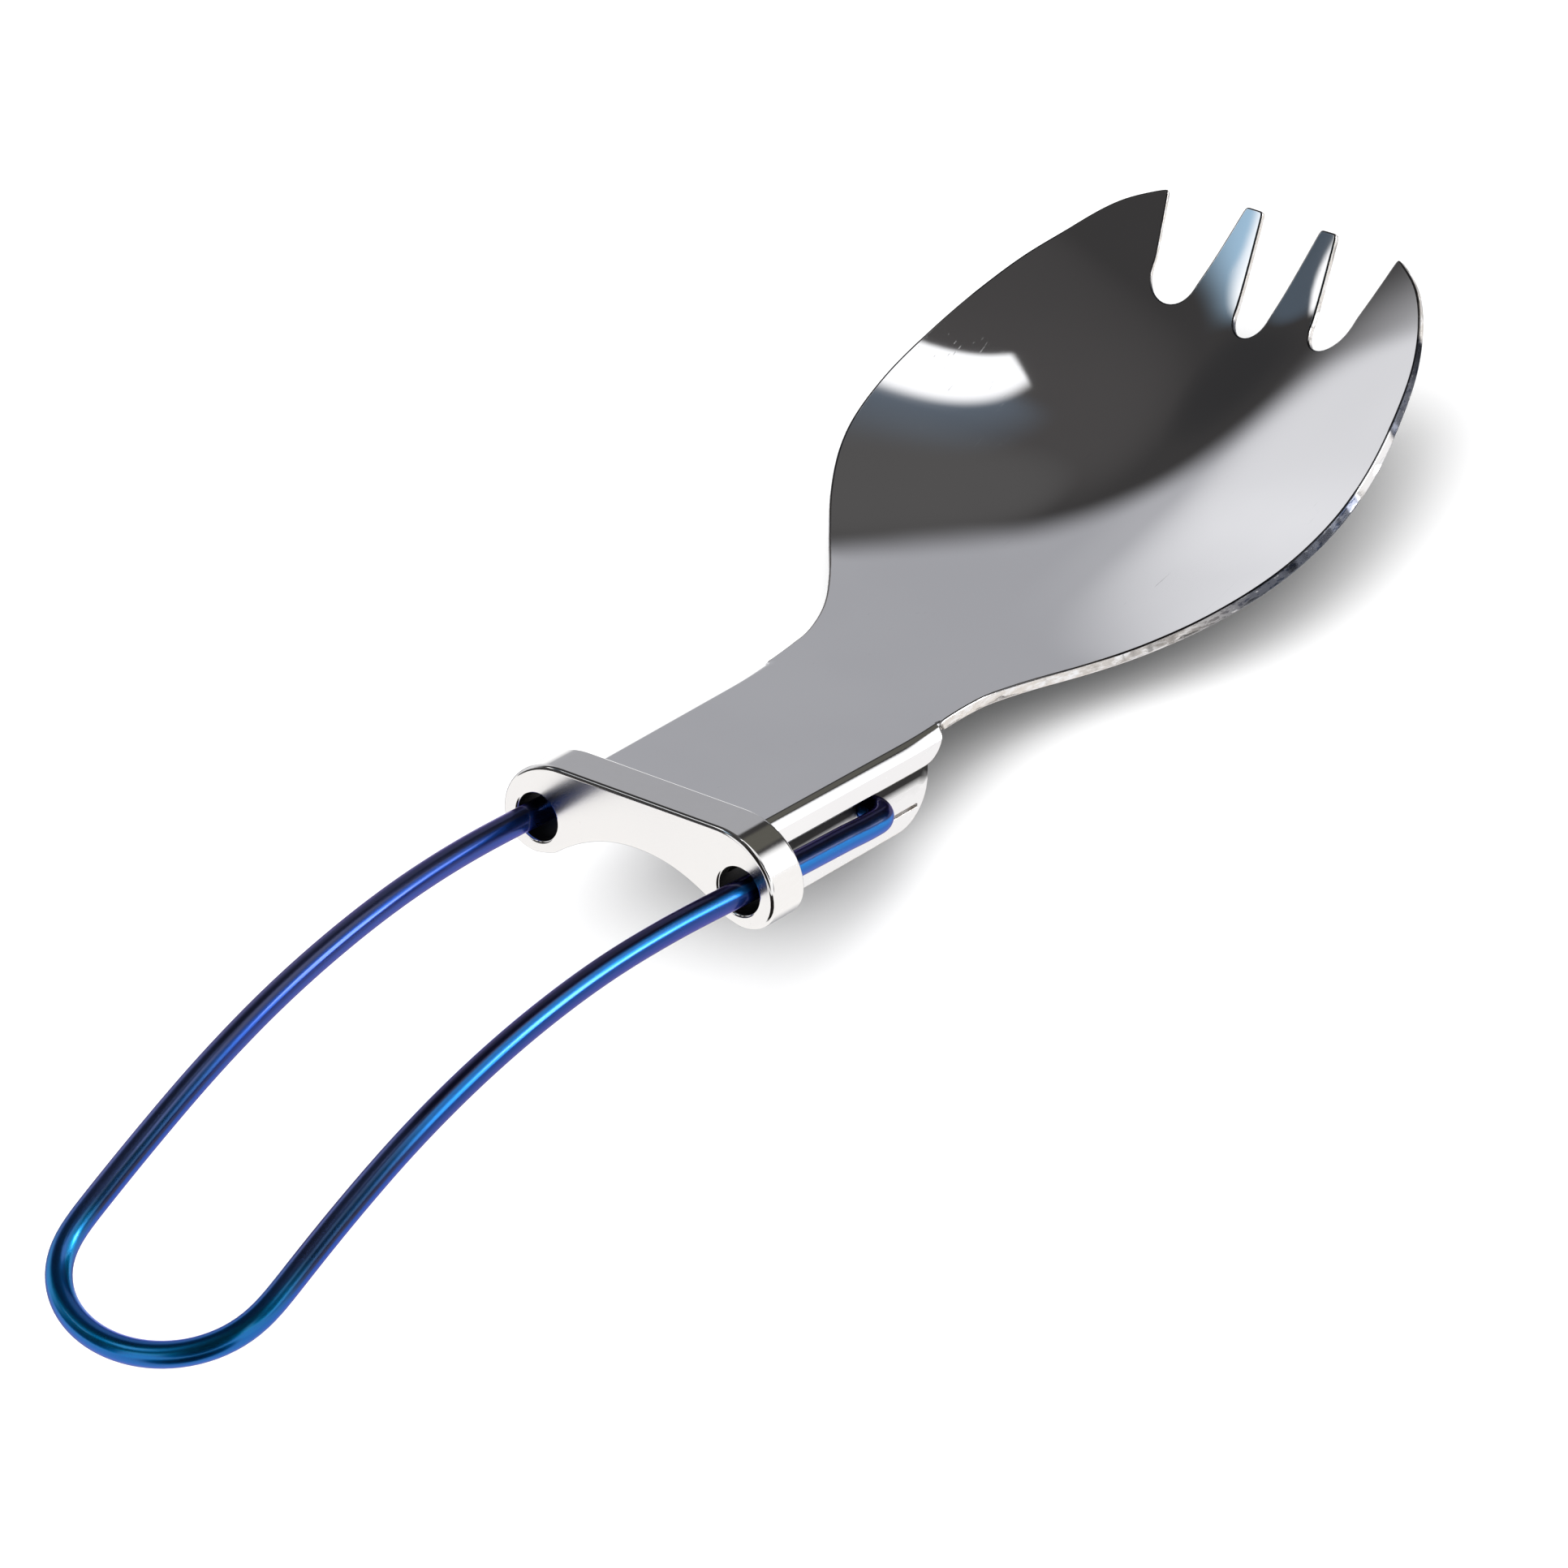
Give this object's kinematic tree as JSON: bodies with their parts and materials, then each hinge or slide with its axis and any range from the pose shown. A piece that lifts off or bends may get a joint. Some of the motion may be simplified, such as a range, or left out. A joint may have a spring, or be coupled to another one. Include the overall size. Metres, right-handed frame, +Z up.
{
  "type": "folding spork",
  "caption": "Folding camping spork: a polished sheet-metal bowl with short fork tines on a flat neck, and a bent wire handle that folds under it, held open by a sliding collar.",
  "frame": {"origin": "middle of the open spork's footprint, on the table it rests on", "axes": "+X along the spork from the handle's loop to the tines, +Y to the left, +Z up out of the bowl"},
  "size_m": [0.1619, 0.049, 0.0182],
  "materials": {
    "polished_steel": "mirror-polished sheet with fine wear scratches",
    "bracket_steel": "polished sheet, a little duller inside",
    "blue_wire": "glossy blue anodised wire",
    "collar_steel": "polished block with broken edges"
  },
  "bodies": {
    "head": {"spork_head": "polished_steel", "pivot_bracket": "bracket_steel"},
    "handle": {"handle_wire": "blue_wire"},
    "collar": {"locking_collar": "collar_steel"}
  },
  "joints": [
    {"name": "handle_fold", "type": "hinge", "parent": "head", "child": "handle", "pos_m": [0.00548, 0, 0.00567], "axis": [0, -1, 0], "range_deg": [0, 178]},
    {"name": "collar_slide", "type": "slide", "parent": "handle", "child": "collar", "axis": [0.9646, 0, -0.2639], "range_m": [-0.022, 0.0029]}
  ]
}
